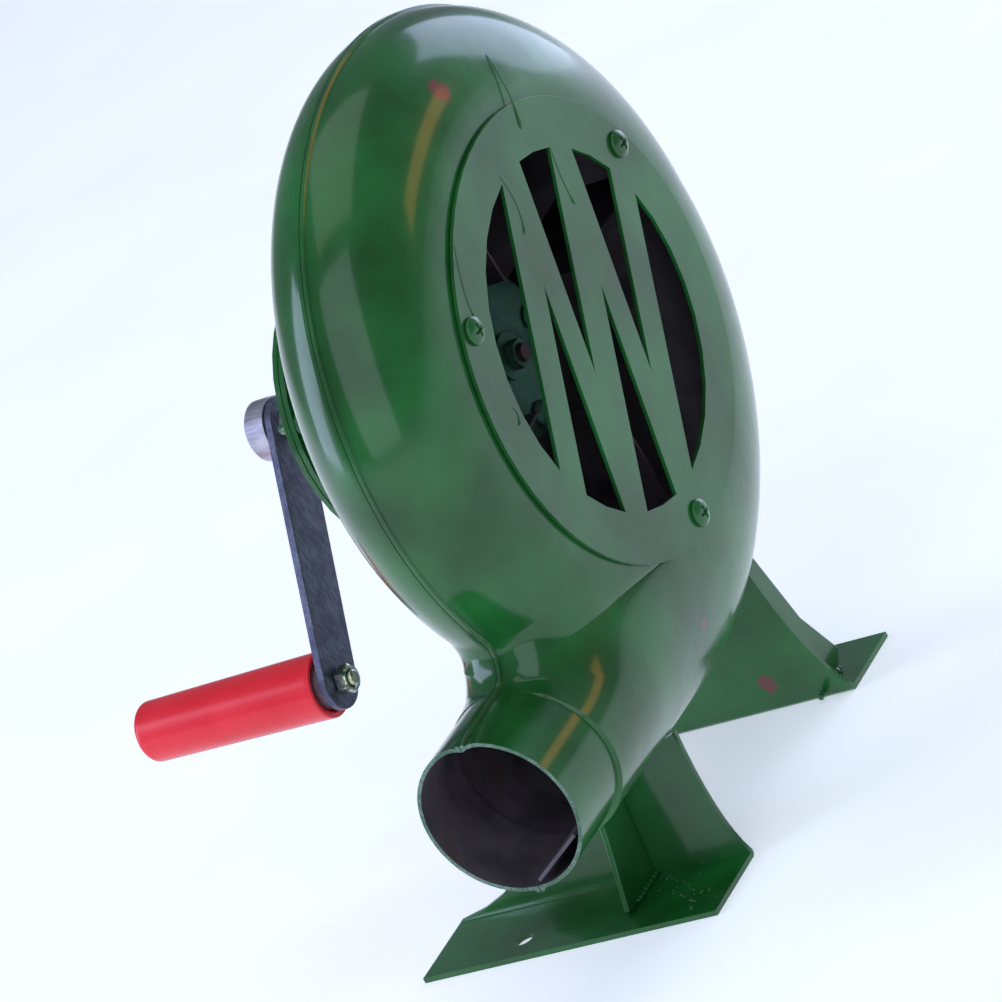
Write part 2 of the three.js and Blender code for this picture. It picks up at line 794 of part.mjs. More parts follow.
// A bent blade: a paddle along the axis and a tab behind the disc.
function blade(angle) {
  const tabFront = fanDiscRear + clearance;
  const inner = fanDiscRadius + 1;
  const paddle = plateY(polygon([
    [inner, 6], [bladeRadius, 6], [bladeRadius, 6 + bladeSheet], [inner, 6 + bladeSheet],
  ]), tabFront + bladeSheet - bladeDepth + 8, tabFront + 8);
  const tab = plateY(polygon([
    [bladeBoltCircle - 6, -6], [inner + 12, -6], [inner + 12, 6 + bladeSheet],
    [inner, 6 + bladeSheet], [bladeBoltCircle - 6, 5.5],
  ]), tabFront, tabFront + bladeSheet);
  const hole = barY(screwShank + clearance, tabFront - 2, tabFront + 4, [bladeBoltCircle, 0], 12);
  return cut(join(paddle, tab), hole).rotateY(-angle * degree);
}

bladeAngles.forEach((angle, i) => {
  const spot = polar(bladeBoltCircle, angle);
  const tabRear = fanDiscRear + clearance + bladeSheet;
  const seat = tabRear + clearance;
  const top = seat + boltNutHeight;
  const length = tabRear - fanDiscFront + boltTail + 1;
  add(`fan_blade_${i + 1}`, blade(angle), darkSteel());
  add(`blade_bolt_${i + 1}`, panScrew(spot, fanDiscFront, length, false), zinc());
  add(`blade_nut_${i + 1}`, nut(boltNutAcross, screwShank + clearance, seat, top, spot), zinc());
});

// ---- Crank and grip -----------------------------------------------------
const gripCentre = new THREE.Vector2(0, crankLength).rotateAround(new THREE.Vector2(), -crankAngle * degree);
const gripSpot = [gripCentre.x, gripCentre.y];
const spacerRear = armRear + clearance + spacerLength;
const gripFront = armRear + 2;
const gripRear = gripFront + gripLength;
const headDepth = 5.5;

add(
  "crank_shaft",
  barY(crankShaftRadius, crankStageY - 0.7, armRear + clearance + hubLength - 0.5, [0, 0], 24),
  turnedSteel(),
);

function crankArm() {
  const shape = new THREE.Shape();
  shape.absarc(0, 0, armWidth / 2, 0, Math.PI, true);
  shape.absarc(0, crankLength, armWidth / 2 - 0.4, Math.PI, 0, true);
  for (const [reach, bore] of [[0, crankShaftRadius], [crankLength, gripBoltRadius]]) {
    const hole = new THREE.Path();
    hole.absarc(0, reach, bore + clearance, 0, 2 * Math.PI, false);
    shape.holes.push(hole);
  }
  return plateY(shape, armFront, armRear, 14).rotateY(crankAngle * degree);
}
add("crank_arm", crankArm(), bareSteel());

function crankHub() {
  const from = armRear + clearance;
  const bore = crankShaftRadius + clearance;
  return turned([
    [bore, from],
    [hubRadius, from],
    [hubRadius, from + hubLength - 0.8],
    [hubRadius - 0.8, from + hubLength],
    [bore, from + hubLength],
  ], 32);
}
add("crank_hub", crankHub(), turnedSteel());

const nutFront = armFront - clearance - nutHeight;
const nutBore = gripBoltRadius + clearance;
add("grip_nut", nut(nutAcross, nutBore, nutFront, nutFront + nutHeight, gripSpot, 10), zinc());
add(
  "grip_spacer",
  ring(gripBoltRadius + clearance, spacerRadius, armRear + clearance, spacerRear, 24)
    .translate(gripSpot[0], 0, gripSpot[1]),
  turnedSteel(),
);
add(
  "grip_bolt",
  turned([
    [0, nutFront - 1.2],
    [gripBoltRadius - 0.5, nutFront - 1.2],
    [gripBoltRadius, nutFront - 0.7],
    [gripBoltRadius, gripRear - headDepth],
    [4.4, gripRear - headDepth],
    [4.4, gripRear - headDepth + 3.5],
    [0, gripRear - headDepth + 3.5],
  ], 16).translate(gripSpot[0], 0, gripSpot[1]),
  zinc(),
);

function grip() {
  const bore = gripBoltRadius + clearance;
  const mouth = gripRadius - 1.8;
  return turned([
    [bore, spacerRear + clearance],
    [mouth, spacerRear + clearance],
    [mouth, gripFront],
    [gripRadius - 0.6, gripFront],
    [gripRadius, gripFront + 0.6],
    [gripTailRadius, gripRear - 1.5],
    [gripTailRadius - 1.5, gripRear],
    [5.2, gripRear],
    [5.2, gripRear - headDepth - clearance],
    [bore, gripRear - headDepth - clearance],
  ], 32).translate(gripSpot[0], 0, gripSpot[1]);
}
add("grip", grip(), redPlastic());

// ---- Stand the blower over the middle of its own box --------------------
const box = new THREE.Box3().setFromObject(blower);
const middle = box.getCenter(new THREE.Vector3());
blower.position.set(-middle.x, -middle.y, -box.min.z);
blower.updateMatrixWorld(true);

export default blower;
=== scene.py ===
import json
import math

import bmesh
import bpy
import numpy as np
from mathutils import Matrix, Vector

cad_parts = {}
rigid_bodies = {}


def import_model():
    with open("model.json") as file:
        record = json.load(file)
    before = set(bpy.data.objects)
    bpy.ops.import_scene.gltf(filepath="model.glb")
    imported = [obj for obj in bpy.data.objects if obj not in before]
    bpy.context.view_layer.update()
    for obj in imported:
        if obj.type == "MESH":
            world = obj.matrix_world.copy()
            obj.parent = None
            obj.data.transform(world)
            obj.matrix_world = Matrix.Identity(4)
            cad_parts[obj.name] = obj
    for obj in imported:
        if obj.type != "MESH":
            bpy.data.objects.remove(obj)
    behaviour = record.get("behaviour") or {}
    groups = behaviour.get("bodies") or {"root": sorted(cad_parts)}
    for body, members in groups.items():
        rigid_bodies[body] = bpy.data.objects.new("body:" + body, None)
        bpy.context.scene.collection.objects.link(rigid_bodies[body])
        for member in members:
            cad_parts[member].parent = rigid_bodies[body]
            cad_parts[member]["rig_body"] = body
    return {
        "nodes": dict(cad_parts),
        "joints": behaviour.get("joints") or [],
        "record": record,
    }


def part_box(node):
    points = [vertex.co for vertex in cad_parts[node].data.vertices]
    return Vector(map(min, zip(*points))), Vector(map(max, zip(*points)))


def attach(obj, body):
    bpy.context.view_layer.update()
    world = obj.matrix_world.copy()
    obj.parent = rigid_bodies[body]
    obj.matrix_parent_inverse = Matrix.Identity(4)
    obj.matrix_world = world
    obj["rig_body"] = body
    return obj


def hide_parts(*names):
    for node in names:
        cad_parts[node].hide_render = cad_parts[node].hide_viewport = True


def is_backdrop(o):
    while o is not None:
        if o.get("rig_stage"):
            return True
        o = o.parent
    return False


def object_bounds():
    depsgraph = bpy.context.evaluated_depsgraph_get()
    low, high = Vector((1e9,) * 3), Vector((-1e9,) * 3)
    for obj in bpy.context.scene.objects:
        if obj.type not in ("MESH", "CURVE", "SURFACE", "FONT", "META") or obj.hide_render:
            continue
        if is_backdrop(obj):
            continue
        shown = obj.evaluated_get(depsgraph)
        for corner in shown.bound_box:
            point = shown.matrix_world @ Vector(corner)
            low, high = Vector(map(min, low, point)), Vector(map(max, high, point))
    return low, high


# A hand-cranked forge blower: pressed and enamelled volute, slotted inlet,
# sheet legs, gear case, and a crank with a red grip.
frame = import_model()
cad_low, cad_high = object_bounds()

# ---- Places taken from the frame, in millimetres -------------------------
# Shapes are worked out from the fan axis in X and Z and from the front face
# of the inlet cover in Y, then moved to the frame by PLACE.
MM = 0.001
joints = {joint["name"]: joint for joint in frame["joints"]}
mounts = {mount["name"]: mount for mount in frame["record"]["mounts"]}
axis_x, _, axis_z = joints["crank_spin"]["pos_m"]
PLACE = np.array([axis_x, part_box("inlet_cover")[0].y, axis_z])


def span(node):
    """A CAD node's lowest and highest corner in the shapes' own millimetres."""
    low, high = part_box(node)
    return (np.array(low) - PLACE) / MM, (np.array(high) - PLACE) / MM


SHELL_FRONT = span("front_shell")[0][1]
SHELL_REAR = span("rear_shell")[1][1]
SEAM = (SHELL_FRONT + SHELL_REAR) / 2
RIDGE = (SHELL_REAR - SHELL_FRONT) / 2
MOUTH = span("rear_shell")[0][0]
OUTLET = (mounts["outlet_end"]["pos_m"][2] - axis_z) / MM

# ---- Sizes of the pressed shell -------------------------------------------
SHEET = 1.2
GAP = 0.3  # between the halves at the seam, and between a gusset and its foot
LIP = 0.8  # how far the seam's lip stands out
LIP_WIDTH = 1.3
LIP_ROOT = 0.3  # from the lip's edge to where the wall starts
BODY_RADIUS = 100.6
BODY_CENTRE = np.array([0.9, 3.9])
FACE_RADIUS = 68.0
VOLUTE_GROWTH = 0.197  # millimetres for each degree on the way to the outlet
PIPE_RADIUS = 25.0
NECK_RADIUS = 26.3
MOUTH_LENGTH = 28.0
TONGUE_FILLET = 9.0
PLAIN_RUN = 36.0  # a rib longer than this starts fuller, so that the neck has no gully
PLAIN = 2.0  # the fullness of a plain ellipse
INLET_RADIUS = 58.0
BUSH_HOLE = 6.3

# ---- Limits used to clean a mesh: lengths in millimetres, angles in degrees ----
WELD = 0.004
NO_LENGTH = 0.001
SAME_PLANE = 1
REAL_EDGE = 35
BEVELLED_EDGE = 32


# ---- Mesh helpers ---------------------------------------------------------
def grid(rows, columns, start=0, wrap=False):
    """Quads between neighbouring rows and columns of a grid of points, with
    the last column joined to the first where the grid wraps."""
    across = columns if wrap else columns - 1
    row, column = np.meshgrid(np.arange(rows - 1), np.arange(across), indexing="ij")
    after = (column + 1) % columns
    corners = [row * columns + column, (row + 1) * columns + column,
               (row + 1) * columns + after, row * columns + after]
    return start + np.stack(corners, axis=-1).reshape(-1, 4)


def piece(name, grids, body, finishes, node=None, sharp=REAL_EDGE):
    """Welds grids of points into one closed mesh. Each grid is (points of
    shape rows x columns x 3, wraps, material index)."""
    points, faces, indices, start = [], [], [], 0
    for shape, wrap, index in grids:
        rows, columns = shape.shape[:2]
        points.append(shape.reshape(-1, 3))
        faces.append(grid(rows, columns, start, wrap))
        indices.append(np.full(len(faces[-1]), index))
        start += rows * columns
    mesh = bpy.data.meshes.new(name)
    where = np.concatenate(points) * MM + PLACE
    mesh.from_pydata(where, [], np.concatenate(faces).tolist())
    for finish in finishes:
        mesh.materials.append(finish)
    mesh.polygons.foreach_set("material_index", np.concatenate(indices).astype(np.int32))
    bm = bmesh.new()
    bm.from_mesh(mesh)
    bmesh.ops.remove_doubles(bm, verts=bm.verts, dist=WELD * MM)
    bmesh.ops.dissolve_degenerate(bm, edges=bm.edges, dist=NO_LENGTH * MM)
    bmesh.ops.recalc_face_normals(bm, faces=bm.faces)
    if bm.calc_volume(signed=True) < 0:
        bmesh.ops.reverse_faces(bm, faces=bm.faces)
    bm.to_mesh(mesh)
    bm.free()
    return finished(name, mesh, body, node, sharp)


def finished(name, mesh, body, node, sharp=REAL_EDGE):
    """Puts a mesh in the scene, smooth except along its real edges."""
    mesh.shade_smooth()
    mesh.set_sharp_from_angle(angle=math.radians(sharp))
    made = bpy.data.objects.new(name, mesh)
    bpy.context.scene.collection.objects.link(made)
    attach(made, body)
    if node:
        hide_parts(node)
    return made


def softened(node, finish, width=0.25, segments=2):
    """A copy of a flat-cut node with its flat faces merged and its edges
    rounded by "width" millimetres, as sheared and painted sheet has."""
    source = frame["nodes"][node]
    mesh = source.data.copy()
    mesh.name = node + "_form"
    mesh.materials.clear()
    mesh.materials.append(finish)
    bm = bmesh.new()
    bm.from_mesh(mesh)
    bmesh.ops.remove_doubles(bm, verts=bm.verts, dist=WELD * MM)
    bmesh.ops.dissolve_limit(bm, angle_limit=math.radians(SAME_PLANE), verts=bm.verts,
                             edges=bm.edges)
    for face in bm.faces:
        face.material_index = 0
    bm.to_mesh(mesh)
    bm.free()
    made = finished(node + "_form", mesh, source["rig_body"], node)
    bevel = made.modifiers.new("rounded_edges", "BEVEL")
    bevel.width = width * MM
    bevel.segments = segments
    bevel.limit_method = "ANGLE"
    bevel.angle_limit = math.radians(BEVELLED_EDGE)
    return made


def carried_round(profile, sides=96, centre=(0.0, 0.0), radius_at=None, rise_at=None):
    """A closed profile of (radius, y) carried round the Y axis through
    "centre". radius_at and rise_at may change radius and y with the angle."""
    radius, along = np.array(profile + profile[:1], float).T
    turn = np.linspace(0, 2 * np.pi, sides, endpoint=False)
    radius, turn = np.meshgrid(radius, turn, indexing="ij")
    along = np.repeat(along[:, None], sides, axis=1)
    if radius_at is not None:
        radius = radius_at(radius, turn, along)
    if rise_at is not None:
        along = along + rise_at(radius, turn, along)
    return np.stack([centre[0] + radius * np.cos(turn), along,
                     centre[1] + radius * np.sin(turn)], axis=-1)


def arc(centre, radius, start, end, steps=5):
    """Profile points on a circle from one angle to another, in degrees."""
    turn = np.radians(np.linspace(start, end, steps))
    return [(centre[0] + radius * c, centre[1] + radius * s)
            for c, s in zip(np.cos(turn), np.sin(turn))]


# ---- Materials ------------------------------------------------------------
def shade(value):
    """An sRGB hex colour as linear numbers, with an alpha of 1."""
    channels = np.array([int(value[i:i + 2], 16) for i in (1, 3, 5)]) / 255
    linear = np.where(channels <= 0.04045, channels / 12.92, ((channels + 0.055) / 1.055) ** 2.4)
    return (*linear.tolist(), 1.0)


def add(tree, kind, links=None, **settings):
    """Adds a node with its settings. A link is a socket or a plain value."""
    made = tree.nodes.new(kind)
    for key, value in settings.items():
        setattr(made, key, value)
    for key, value in (links or {}).items():
        if isinstance(value, bpy.types.NodeSocket):
            tree.links.new(value, made.inputs[key])
        else:
            made.inputs[key].default_value = value
    return made


def material(name, constants):
    """A material with its shader's constant values set on it, as (material,
    node tree, shader, place)."""
    made = bpy.data.materials.new(name)
    made.use_nodes = True
    shader = made.node_tree.nodes["Principled BSDF"]
    for key, value in constants.items():
        shader.inputs[key].default_value = value
    where = add(made.node_tree, "ShaderNodeTexCoord").outputs["Object"]
    return made, made.node_tree, shader, where


def grain(tree, where, size_mm, stretch=(1, 1, 1), detail=3.0):
    """Noise whose spots are "size_mm" across, drawn out along some axes."""
    spread = [1 / (size_mm * MM * s) for s in stretch]
    moved = add(tree, "ShaderNodeMapping", {"Vector": where, "Scale": spread})
    return add(tree, "ShaderNodeTexNoise",
               {"Vector": moved.outputs[0], "Scale": 1.0, "Detail": detail}).outputs["Fac"]


def ramp(tree, factor, stops):
    """A colour ramp through (position, colour) stops."""
    made = add(tree, "ShaderNodeValToRGB", {"Fac": factor})
    band = made.color_ramp
    for index, (position, colour) in enumerate(stops):
        stop = band.elements[index] if index < 2 else band.elements.new(position)
        stop.position = position
        stop.color = colour
    return made.outputs["Color"]


def between(tree, factor, low, high):
    """A number that goes from low to high with the factor."""
    return add(tree, "ShaderNodeMapRange",
               {"Value": factor, "To Min": low, "To Max": high}).outputs[0]


def bumps(tree, shader, layers):
    """Stacks height maps, each (height, depth in millimetres)."""
    normal = None
    for height, depth in layers:
        links = {"Height": height, "Strength": 1.0, "Distance": depth * MM}
        if normal is not None:
            links["Normal"] = normal
        normal = add(tree, "ShaderNodeBump", links).outputs["Normal"]
    tree.links.new(normal, shader.inputs["Normal"])


def spot(tree, where, centre, radius):
    """1 inside a ragged blot at a place in the shapes' millimetres, 0 outside."""
    world = (np.array(centre) * MM + PLACE).tolist()
    ragged = add(tree, "ShaderNodeVectorMath", {0: where, 1: world}, operation="DISTANCE")
    noise = grain(tree, where, 1.7)
    reach = add(tree, "ShaderNodeMath", {0: noise, 1: radius * 2 * MM}, operation="MULTIPLY")
    return add(tree, "ShaderNodeMath", {0: reach.outputs[0], 1: ragged.outputs["Value"]},
               operation="GREATER_THAN").outputs[0]


def brushed_on_enamel(name, light, dark, blots=()):
    """Thick alkyd enamel flooded over pressed steel: deep gloss with a slow
    ripple from the flow, fine orange peel, sags that hang down, dust nibs,
    and red primer showing where it chipped."""
    made, tree, shader, where = material(
        name, {"Roughness": 0.3, "Coat Weight": 0.8, "Coat Roughness": 0.12, "IOR": 1.5,
               "Specular IOR Level": 0.15})
    colour = ramp(tree, grain(tree, where, 34), [(0.35, shade(dark)), (0.68, shade(light))])
    for centre, radius in blots:
        mask = spot(tree, where, centre, radius)
        colour = add(tree, "ShaderNodeMix", {"Factor": mask, 6: colour, 7: shade("#6e3d38")},
                     data_type="RGBA").outputs[2]
    nib = ramp(tree, grain(tree, where, 3.2, detail=1),
               [(0.7, shade("#000000")), (0.78, shade("#ffffff"))])
    tree.links.new(colour, shader.inputs["Base Color"])
    tree.links.new(between(tree, grain(tree, where, 9), 0.22, 0.4), shader.inputs["Roughness"])
    bumps(tree, shader, [
        (grain(tree, where, 30, detail=1), 0.9),
        (grain(tree, where, 11, stretch=(1, 1, 3.2), detail=1), 0.22),
        (grain(tree, where, 1.6, detail=1), 0.012),
        (nib, 0.05),
    ])
    return made


def scaled_steel(name, light, dark, rust, rough=(0.38, 0.62), metal=0.75):
    """Bare hot-rolled sheet: blue-brown mill scale, thin rust bloom and dull
    patches from handling."""
    made, tree, shader, where = material(name, {"Metallic": metal})
    colour = ramp(tree, grain(tree, where, 14, detail=5),
                  [(0.3, shade(dark)), (0.55, shade(light)), (0.78, shade(rust))])
    tree.links.new(colour, shader.inputs["Base Color"])
    tree.links.new(between(tree, grain(tree, where, 5), *rough), shader.inputs["Roughness"])
    bumps(tree, shader, [(grain(tree, where, 0.9), 0.02)])
    return made


def drawn_bar(name, light, dark, stretch, rough=(0.32, 0.55)):
    """Cold-drawn or turned steel: fine parallel tool lines, a soft sheen
    along them and a few darker handling marks."""
    made, tree, shader, where = material(name, {"Metallic": 0.95})
    lines = grain(tree, where, 0.7, stretch=stretch, detail=2)
    marks = grain(tree, where, 7, detail=4)
    blended = add(tree, "ShaderNodeMath", {0: lines, 1: marks}, operation="MULTIPLY").outputs[0]
    colour = ramp(tree, blended, [(0.16, shade(dark)), (0.36, shade(light))])
    tree.links.new(colour, shader.inputs["Base Color"])
    tree.links.new(between(tree, marks, *rough), shader.inputs["Roughness"])
    bumps(tree, shader, [(lines, 0.02)])
    return made


def zinc_plating(name):
    """Bright zinc with a thin yellow passivate: clean, slightly cloudy."""
    made, tree, shader, where = material(name, {"Metallic": 1.0})
    colour = ramp(tree, grain(tree, where, 4), [(0.35, shade("#a9b6ba")), (0.7, shade("#d2cfa6"))])
    tree.links.new(colour, shader.inputs["Base Color"])
    tree.links.new(between(tree, grain(tree, where, 2), 0.2, 0.36), shader.inputs["Roughness"])
    bumps(tree, shader, [(grain(tree, where, 0.6), 0.008)])
    return made


def moulded_red(name):
    """Injection-moulded polypropylene: even red, waxy gloss, faint sink
    marks along the barrel and a fine tool texture."""
    made, tree, shader, where = material(
        name, {"IOR": 1.49, "Specular IOR Level": 0.3, "Coat Weight": 0.25, "Coat Roughness": 0.2})
    colour = ramp(tree, grain(tree, where, 18), [(0.3, shade("#e01c2c")), (0.7, shade("#f02e3c"))])
    tree.links.new(colour, shader.inputs["Base Color"])
    tree.links.new(between(tree, grain(tree, where, 6), 0.26, 0.38), shader.inputs["Roughness"])
    bumps(tree, shader, [(grain(tree, where, 0.5), 0.006), (grain(tree, where, 15), 0.08)])
    return made


def pale_floor(name):
    """Matt white paper sweep, with a faint mottle."""
    made, tree, shader, where = material(name, {"Roughness": 0.9, "Emission Strength": 0.44})
    shader.inputs["Emission Color"].default_value = shade("#e9f0ff")
    colour = ramp(tree, grain(tree, where, 90), [(0.3, shade("#f2f2f2")), (0.7, shade("#fafafa"))])
    tree.links.new(colour, shader.inputs["Base Color"])
    return made


PRIMER_CHIPS = [  # place and radius
    ((-5.4, 4.9, 85.7), 3.6),
    ((-18.7, 4.6, -90.8), 1.4),
    ((42.7, 36.6, -144.6), 3.2),
    ((-92.6, 28.0, -4.0), 2.2),
    ((52.0, 45.0, -124.0), 3.0),
]
enamel = brushed_on_enamel("flooded_alkyd_enamel", "#206c31", "#13491a", PRIMER_CHIPS)
inside = scaled_steel("mill_scale_shell_inside", "#5f565e", "#413a42", "#5d4743",
                      rough=(0.45, 0.65), metal=0.3)
sheared = drawn_bar("sheared_bare_edge", "#7e9488", "#4c6a58", (1, 1, 1), (0.35, 0.5))
blade_steel = scaled_steel("mill_scale_fan_blade", "#5a5058", "#332d33", "#64463c")
dusted = scaled_steel("oversprayed_disc", "#4f7a66", "#2f4d45", "#46604f", (0.4, 0.6))
bar = drawn_bar("blue_grey_bar_stock", "#74768a", "#55566a", (1, 1, 4), (0.4, 0.58))
gear_steel = drawn_bar("cut_gear_steel", "#8b8b93", "#5e5e66", (1, 4, 1), (0.35, 0.5))
turned = drawn_bar("turned_bright_steel", "#c9c5d2", "#aaa6b4", (1, 7, 1))
bronze = scaled_steel("oil_bronze", "#9a7743", "#6a5030", "#7a5f38", (0.35, 0.5))
zinc = zinc_plating("yellowish_zinc_plate")
red = moulded_red("moulded_red_polypropylene")


# ---- Volute shell ----------------------------------------------------------
def circle(degrees, radius):
    """Points at these angles on a circle round the fan axis, as (x, z)."""
    turn = np.radians(degrees)
    return np.stack([radius * np.cos(turn), radius * np.sin(turn)], axis=-1)


def bezier(share, corners):
    """The cubic curve through the first and last corner, pulled by the two
    between them."""
    t = share[:, None]
    a, b, c, d = [np.array(corner, float) for corner in corners]
    return (1 - t) ** 3 * a + 3 * (1 - t) ** 2 * t * b + 3 * (1 - t) * t ** 2 * c + t ** 3 * d


def ease(share):
    """0 to 1 along half a cosine wave, level at both ends."""
    return (1 - np.cos(np.pi * share)) / 2


def ribs():
    """The ribs of the volute in order round it: their outer ends on the seam
    outline, inner ends on the ridge, depth, fullness, and whether they run
    in to the flat round wall."""
    drop = OUTLET + PIPE_RADIUS + TONGUE_FILLET
    across = math.sqrt((BODY_RADIUS + TONGUE_FILLET) ** 2 - (drop - BODY_CENTRE[1]) ** 2)
    tongue = np.array([BODY_CENTRE[0] - across, drop])
    turn = math.degrees(math.atan2(BODY_CENTRE[1] - drop, across))
    shoulder = MOUTH + MOUTH_LENGTH
    step = 0.6  # length of the step from the pipe up to the neck
    neck_at, face_at = 0.04, 0.45  # shares of the tongue where the neck and the face start
    spine = [(shoulder, OUTLET), (0.6 * shoulder, OUTLET), (0.4 * shoulder, -FACE_RADIUS),
             (0, -FACE_RADIUS)]
    bottom = BODY_RADIUS + 90 * VOLUTE_GROWTH - BODY_CENTRE[1]
    belly = [(shoulder, OUTLET - NECK_RADIUS), (0.55 * shoulder, OUTLET - NECK_RADIUS - 0.5),
             (0.27 * shoulder, -bottom - 1.4), (BODY_CENTRE[0], -bottom)]

    def line(start, end, share):
        return np.array(start) + (np.array(end) - np.array(start)) * share[:, None]

    def on_tongue(share):
        return tongue + circle(-90 + (turn + 90) * share, TONGUE_FILLET)

    def even(share, value):
        return np.full(len(share), float(value))

    def sector(count, edge, inner, depth, is_round, fuller=False):
        """"count" ribs. edge, inner and depth take the share of the way along."""
        s = np.linspace(0, 1, count, endpoint=False)
        run = np.linalg.norm(inner(s) - edge(s), axis=1)
        power = PLAIN * np.sqrt(np.maximum(1, run / PLAIN_RUN)) if fuller else even(s, PLAIN)
        return edge(s), inner(s), depth(s), power, even(s, is_round)

    def round_angle(s):
        return 180 + turn + (-90 - 180 - turn) * s

    def body_edge(s):
        angle = round_angle(s)
        reach = BODY_RADIUS + VOLUTE_GROWTH * np.maximum(0, -angle)
        return BODY_CENTRE + circle(angle, 1.0) * reach[:, None]

    def deep(s):
        return even(s, RIDGE)

    def pipe_deep(s):
        return even(s, PIPE_RADIUS)

    top = OUTLET + PIPE_RADIUS
    low = OUTLET - PIPE_RADIUS
    parts = [
        sector(30, lambda s: line((MOUTH, top), (tongue[0], top), s),
               lambda s: line((MOUTH, OUTLET), (shoulder - step, OUTLET), s),
               pipe_deep, 0),
        sector(4, lambda s: on_tongue(neck_at * s),
               lambda s: line((shoulder - step, OUTLET), (shoulder, OUTLET), s),
               lambda s: PIPE_RADIUS + (NECK_RADIUS - PIPE_RADIUS) * s, 0),
        sector(48, lambda s: on_tongue(neck_at + (face_at - neck_at) * s),
               lambda s: bezier(s, spine),
               lambda s: NECK_RADIUS + (RIDGE - NECK_RADIUS) * ease(s), 0, fuller=True),
        sector(44, lambda s: on_tongue(face_at + (1 - face_at) * s),
               lambda s: circle(270 + (turn - 90) * s, FACE_RADIUS), deep, 1, fuller=True),
        sector(200, body_edge, lambda s: circle(round_angle(s), FACE_RADIUS), deep, 1),
        sector(48, lambda s: bezier(1 - s, belly), lambda s: bezier(1 - s, spine),
               lambda s: RIDGE + (NECK_RADIUS - RIDGE) * ease(s), 0),
        sector(4, lambda s: line((shoulder, OUTLET - NECK_RADIUS), (shoulder - step, low), s),
               lambda s: line((shoulder, OUTLET), (shoulder - step, OUTLET), s),
               lambda s: NECK_RADIUS + (PIPE_RADIUS - NECK_RADIUS) * s, 0),
        sector(30, lambda s: line((shoulder - step, low), (MOUTH, low), s),
               lambda s: line((shoulder - step, OUTLET), (MOUTH, OUTLET), s),
               pipe_deep, 0),
    ]
    end = [np.array([[MOUTH, low]]), np.array([[MOUTH, OUTLET]]), np.array([PIPE_RADIUS]),
           np.array([PLAIN]), np.array([0.0])]
    return [np.concatenate([*column, last]) for column, last in zip(zip(*parts), end)]


def wall(field, inset, start, side, steps=26):
    """A wall of the shell, "inset" inside the pressed outline. As the angle a
    goes to a right angle, each rib goes in by its length x (1 - cos(a)^bend)
    and rises by its depth x sin(a)^bend. The bend is 2 / n for a rib of
    fullness n, and fades to the plain ellipse's 1 towards the ridge."""
    edge, inner, depth, power, _ = field
    fade = np.linspace(0, 1, steps) ** 1.2
    run = inner - edge
    length = np.linalg.norm(run, axis=1)
    way = run / length[:, None]
    tall = depth - inset
    first = np.arcsin(np.minimum(1, start / tall))
    angle = first[:, None] + (np.pi / 2 - first[:, None]) * np.linspace(0, 1, steps)
    bend = PLAIN / (power[:, None] + (PLAIN - power[:, None]) * fade)
    inward = (length - inset)[:, None] * (1 - np.maximum(np.cos(angle), 0) ** bend)
    height = tall[:, None] * np.maximum(np.sin(angle), 1e-9) ** bend
    height[:, 0] = start
    flat = edge[:, None] + way[:, None] * (inset + inward)[..., None]
    return np.stack([flat[..., 0], SEAM + side * height, flat[..., 1]], axis=-1)


def lip_row(field, inset, height, side):
    """One line of points along the seam, "inset" in from the outline."""
    edge, inner = field[0], field[1]
    way = (inner - edge) / np.linalg.norm(inner - edge, axis=1)[:, None]
    flat = edge + way * inset
    along = np.full(len(flat), SEAM + side * height)
    return np.stack([flat[:, 0], along, flat[:, 1]], axis=-1)[:, None]


def curled(points):
    """The mouth's upper rim is dressed inwards beside the seam: points near
    it sink towards the pipe's axis by up to "sink", with the squares of how
    near they are to the end and to the seam."""
    length, width, sink = 9, 6, 1.3
    near_end = np.clip((MOUTH + length - points[..., 0]) / length, 0, 1) ** 2
    near_seam = np.clip(1 - np.abs(points[..., 1] - SEAM) / width, 0, 1) ** 2
    upper = points[..., 2] > OUTLET
    sunk = points.copy()
    sunk[..., 2] -= np.where(upper, sink * near_end * near_seam, 0)
    return sunk


def shell_half(name, side, opening, body):
    """One pressed half: outer wall and lip, inner wall, flat round face to
    the opening, and the two cut ends of the pipe."""
    field = ribs()
    _, ridge_ends, _, _, is_round = field
    lips = [lip_row(field, -LIP, GAP / 2, side), lip_row(field, -LIP, LIP_WIDTH, side)]
    outer = np.concatenate([*lips, wall(field, 0, LIP_WIDTH + LIP_ROOT, side)], axis=1)
    inner = wall(field, SHEET, GAP / 2, side)
    back = np.concatenate([lips[0], inner], axis=1)
    rounds = is_round > 0
    rounds[np.flatnonzero(rounds)[-1] + 1] = True  # the rib that closes the ring
    ring = ridge_ends[rounds]
    ring = ring / np.linalg.norm(ring, axis=1)[:, None]
    reach = np.linspace(FACE_RADIUS, opening, 4)

    def face(height):
        flat = ring[:, None] * reach[:, None]
        along = np.full(flat.shape[:2], SEAM + side * height)
        return np.stack([flat[..., 0], along, flat[..., 1]], axis=-1)

    front, rear = face(RIDGE), face(RIDGE - SHEET)
    bore = np.stack([front[:, -1], rear[:, -1]], axis=1)
    short = outer.shape[1] - inner.shape[1]
    padded = np.concatenate([np.repeat(inner[:, :1], short, axis=1), inner], axis=1)
    ends = [np.stack([outer[i], padded[i]], axis=0) for i in (0, -1)]
    grids = [(curled(outer), False, 0), (curled(back), False, 1), (front, False, 0),
             (rear, False, 1), (bore, False, 2)]
    grids += [(curled(end), False, 2) for end in ends]
    return piece(name, grids, body, [enamel, inside, sheared],
                 "front_shell" if side < 0 else "rear_shell", sharp=48)


volute = [shell_half("front_volute_half", -1, INLET_RADIUS, "frame"),
          shell_half("rear_volute_half", 1, BUSH_HOLE, "frame")]

